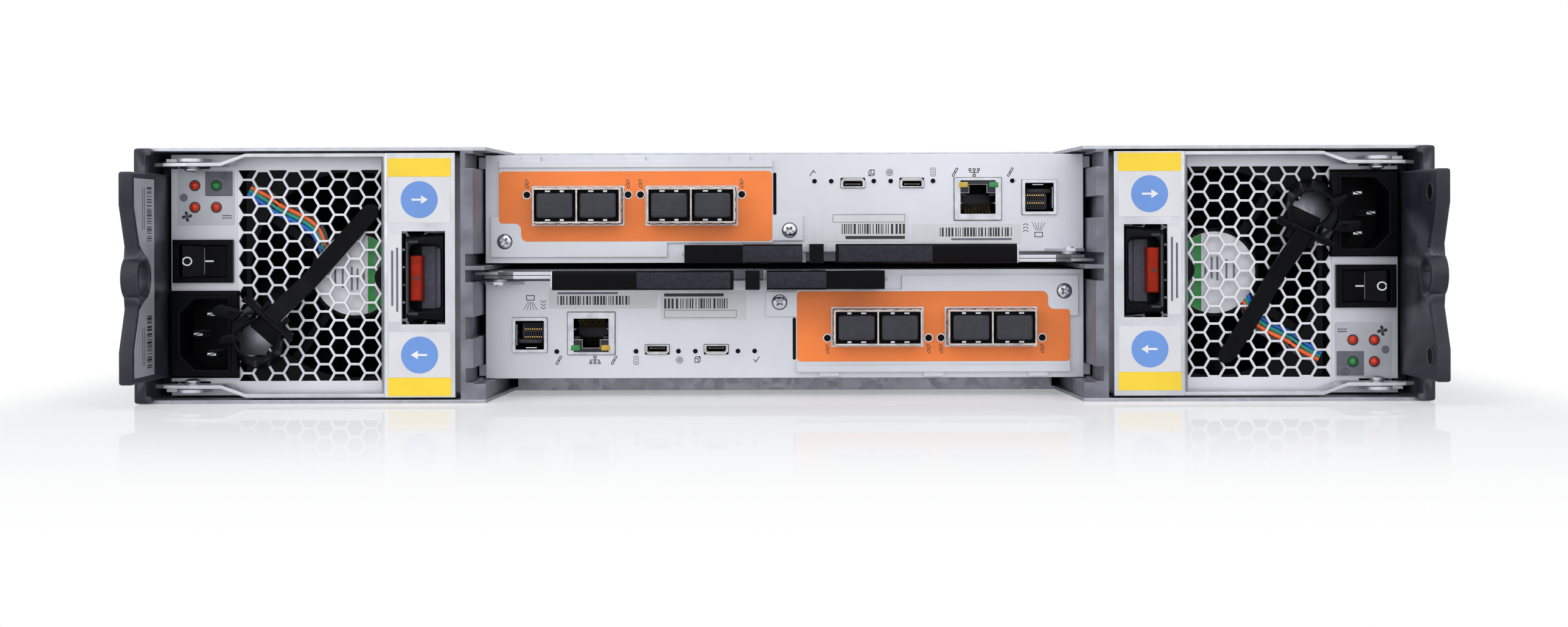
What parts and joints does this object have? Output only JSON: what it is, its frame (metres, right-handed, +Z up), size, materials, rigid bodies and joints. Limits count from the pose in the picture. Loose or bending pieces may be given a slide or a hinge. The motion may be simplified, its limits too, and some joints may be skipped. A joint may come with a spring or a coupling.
{
  "type": "disk shelf enclosure",
  "caption": "Low rack-mount disk shelf: outer power supplies with hinged yoke handles, stacked controllers between them, drive carriers on the far side.",
  "frame": {"origin": "middle of the underside of the whole shelf, ear grips and rear brackets included", "axes": "+Y from the connector side to the drive side, +Z up, +X to the right when facing the connectors"},
  "size_m": [0.4826, 0.6304, 0.0879],
  "materials": {
    "galvanised_sheet": "zinc-coated sheet, dull spangle",
    "cover_sheet": "zinc-coated sheet, dull",
    "module_sheet": "zinc-coated sheet, satin",
    "panel_sheet": "perforated zinc-coated sheet",
    "dark_moulding": "dark grey moulded plastic",
    "guide_casting": "mid-grey moulded plastic",
    "black_plastic": "black moulded plastic",
    "grey_plastic": "grey moulded plastic, textured",
    "circuit_board": "green solder mask",
    "lamp_lens": "coloured clear lenses",
    "red_plastic": "red moulded plastic",
    "handle_sheet": "zinc-coated sheet, smooth",
    "wire_insulation": "coloured insulation",
    "port_metal": "bright plated sheet"
  },
  "bodies": {
    "chassis": {"chassis_tray": "galvanised_sheet", "top_cover": "cover_sheet", "drive_cage": "galvanised_sheet", "midplane_board": "circuit_board", "rack_flanges": "cover_sheet", "ear_grips": "dark_moulding", "rear_brackets": "dark_moulding", "bay_guides": "guide_casting", "drive_blanks": "dark_moulding"},
    "carrier_1": {"drive_carrier_1": "grey_plastic"},
    "carrier_lever_1": {"carrier_lever_1": "dark_moulding"},
    "carrier_2": {"drive_carrier_2": "grey_plastic"},
    "carrier_lever_2": {"carrier_lever_2": "dark_moulding"},
    "carrier_3": {"drive_carrier_3": "grey_plastic"},
    "carrier_lever_3": {"carrier_lever_3": "dark_moulding"},
    "carrier_4": {"drive_carrier_4": "grey_plastic"},
    "carrier_lever_4": {"carrier_lever_4": "dark_moulding"},
    "left_psu": {"left_psu_case": "module_sheet", "left_psu_grille": "panel_sheet", "left_psu_inlet": "black_plastic", "left_psu_switch_bezel": "black_plastic", "left_psu_lamps": "lamp_lens", "left_psu_fan_frame": "black_plastic", "left_psu_fan_leads": "wire_insulation", "left_psu_cord_clamp": "black_plastic"},
    "left_psu_rocker": {"left_psu_rocker": "black_plastic"},
    "left_psu_fan_rotor": {"left_psu_fan_rotor": "black_plastic"},
    "left_psu_handle": {"left_psu_handle": "handle_sheet", "left_psu_latch_grip": "black_plastic"},
    "left_psu_release_tab": {"left_psu_release_tab": "red_plastic"},
    "right_psu": {"right_psu_case": "module_sheet", "right_psu_grille": "panel_sheet", "right_psu_inlet": "black_plastic", "right_psu_switch_bezel": "black_plastic", "right_psu_lamps": "lamp_lens", "right_psu_fan_frame": "black_plastic", "right_psu_fan_leads": "wire_insulation", "right_psu_cord_clamp": "black_plastic"},
    "right_psu_rocker": {"right_psu_rocker": "black_plastic"},
    "right_psu_fan_rotor": {"right_psu_fan_rotor": "black_plastic"},
    "right_psu_handle": {"right_psu_handle": "handle_sheet", "right_psu_latch_grip": "black_plastic"},
    "right_psu_release_tab": {"right_psu_release_tab": "red_plastic"},
    "lower_controller": {"lower_controller_case": "module_sheet", "lower_controller_face": "module_sheet", "lower_host_port_plate": "module_sheet", "lower_port_cages": "port_metal", "lower_plugs_and_clasp": "black_plastic", "lower_service_ports": "port_metal"},
    "lower_long_lever": {"lower_long_lever": "grey_plastic"},
    "lower_short_lever": {"lower_short_lever": "grey_plastic"},
    "upper_controller": {"upper_controller_case": "module_sheet", "upper_controller_face": "module_sheet", "upper_host_port_plate": "module_sheet", "upper_port_cages": "port_metal", "upper_plugs_and_clasp": "black_plastic", "upper_service_ports": "port_metal"},
    "upper_long_lever": {"upper_long_lever": "grey_plastic"},
    "upper_short_lever": {"upper_short_lever": "grey_plastic"}
  },
  "joints": [
    {"name": "carrier_1_slide", "type": "slide", "parent": "chassis", "child": "carrier_1", "axis": [0, 1, 0], "range_m": [0, 0.225]},
    {"name": "carrier_1_lever_hinge", "type": "hinge", "parent": "carrier_1", "child": "carrier_lever_1", "pos_m": [-0.211, 0.3025, 0.07265], "axis": [0, 0, 1], "range_deg": [0, 60]},
    {"name": "carrier_2_slide", "type": "slide", "parent": "chassis", "child": "carrier_2", "axis": [0, 1, 0], "range_m": [0, 0.225]},
    {"name": "carrier_2_lever_hinge", "type": "hinge", "parent": "carrier_2", "child": "carrier_lever_2", "pos_m": [-0.1025, 0.3025, 0.07265], "axis": [0, 0, 1], "range_deg": [0, 60]},
    {"name": "carrier_3_slide", "type": "slide", "parent": "chassis", "child": "carrier_3", "axis": [0, 1, 0], "range_m": [0, 0.225]},
    {"name": "carrier_3_lever_hinge", "type": "hinge", "parent": "carrier_3", "child": "carrier_lever_3", "pos_m": [0.006, 0.3025, 0.07265], "axis": [0, 0, 1], "range_deg": [0, 60]},
    {"name": "carrier_4_slide", "type": "slide", "parent": "chassis", "child": "carrier_4", "axis": [0, 1, 0], "range_m": [0, 0.225]},
    {"name": "carrier_4_lever_hinge", "type": "hinge", "parent": "carrier_4", "child": "carrier_lever_4", "pos_m": [0.1145, 0.3025, 0.07265], "axis": [0, 0, 1], "range_deg": [0, 60]},
    {"name": "left_psu_slide", "type": "slide", "parent": "chassis", "child": "left_psu", "axis": [0, -1, 0], "range_m": [0, 0.36]},
    {"name": "left_psu_handle_hinge", "type": "hinge", "parent": "left_psu", "child": "left_psu_handle", "pos_m": [-0.205, -0.2831, 0.04395], "axis": [0, 0, -1], "range_deg": [0, 75]},
    {"name": "left_psu_release_slide", "type": "slide", "parent": "left_psu_handle", "child": "left_psu_release_tab", "axis": [1, 0, 0], "range_m": [0, 0.0028], "stiffness_N_per_m": 250, "springref_m": -0.0015},
    {"name": "left_psu_rocker_hinge", "type": "hinge", "parent": "left_psu", "child": "left_psu_rocker", "pos_m": [-0.2028, -0.2749, 0.0488], "axis": [0, 0, -1], "range_deg": [0, 18]},
    {"name": "left_psu_fan_spin", "type": "hinge", "parent": "left_psu", "child": "left_psu_fan_rotor", "pos_m": [-0.1506, -0.2671, 0.04395], "axis": [0, 1, 0], "continuous": true},
    {"name": "right_psu_slide", "type": "slide", "parent": "chassis", "child": "right_psu", "axis": [0, -1, 0], "range_m": [0, 0.36]},
    {"name": "right_psu_handle_hinge", "type": "hinge", "parent": "right_psu", "child": "right_psu_handle", "pos_m": [0.205, -0.2831, 0.04395], "axis": [0, 0, 1], "range_deg": [0, 75]},
    {"name": "right_psu_release_slide", "type": "slide", "parent": "right_psu_handle", "child": "right_psu_release_tab", "axis": [-1, 0, 0], "range_m": [0, 0.0028], "stiffness_N_per_m": 250, "springref_m": -0.0015},
    {"name": "right_psu_rocker_hinge", "type": "hinge", "parent": "right_psu", "child": "right_psu_rocker", "pos_m": [0.2028, -0.2749, 0.0391], "axis": [0, 0, 1], "range_deg": [0, 18]},
    {"name": "right_psu_fan_spin", "type": "hinge", "parent": "right_psu", "child": "right_psu_fan_rotor", "pos_m": [0.1506, -0.2671, 0.04395], "axis": [0, 1, 0], "continuous": true},
    {"name": "lower_controller_slide", "type": "slide", "parent": "chassis", "child": "lower_controller", "axis": [0, -1, 0], "range_m": [0, 0.345]},
    {"name": "lower_long_lever_hinge", "type": "hinge", "parent": "lower_controller", "child": "lower_long_lever", "pos_m": [-0.1, -0.273, 0.04175], "axis": [0, 0, -1], "range_deg": [0, 70]},
    {"name": "lower_short_lever_hinge", "type": "hinge", "parent": "lower_controller", "child": "lower_short_lever", "pos_m": [0.0304, -0.2745, 0.04175], "axis": [0, 0, 1], "range_deg": [0, 55]},
    {"name": "upper_controller_slide", "type": "slide", "parent": "chassis", "child": "upper_controller", "axis": [0, -1, 0], "range_m": [0, 0.345]},
    {"name": "upper_long_lever_hinge", "type": "hinge", "parent": "upper_controller", "child": "upper_long_lever", "pos_m": [0.1, -0.273, 0.05095], "axis": [0, 0, 1], "range_deg": [0, 70]},
    {"name": "upper_short_lever_hinge", "type": "hinge", "parent": "upper_controller", "child": "upper_short_lever", "pos_m": [-0.0304, -0.2745, 0.05095], "axis": [0, 0, -1], "range_deg": [0, 55]}
  ]
}
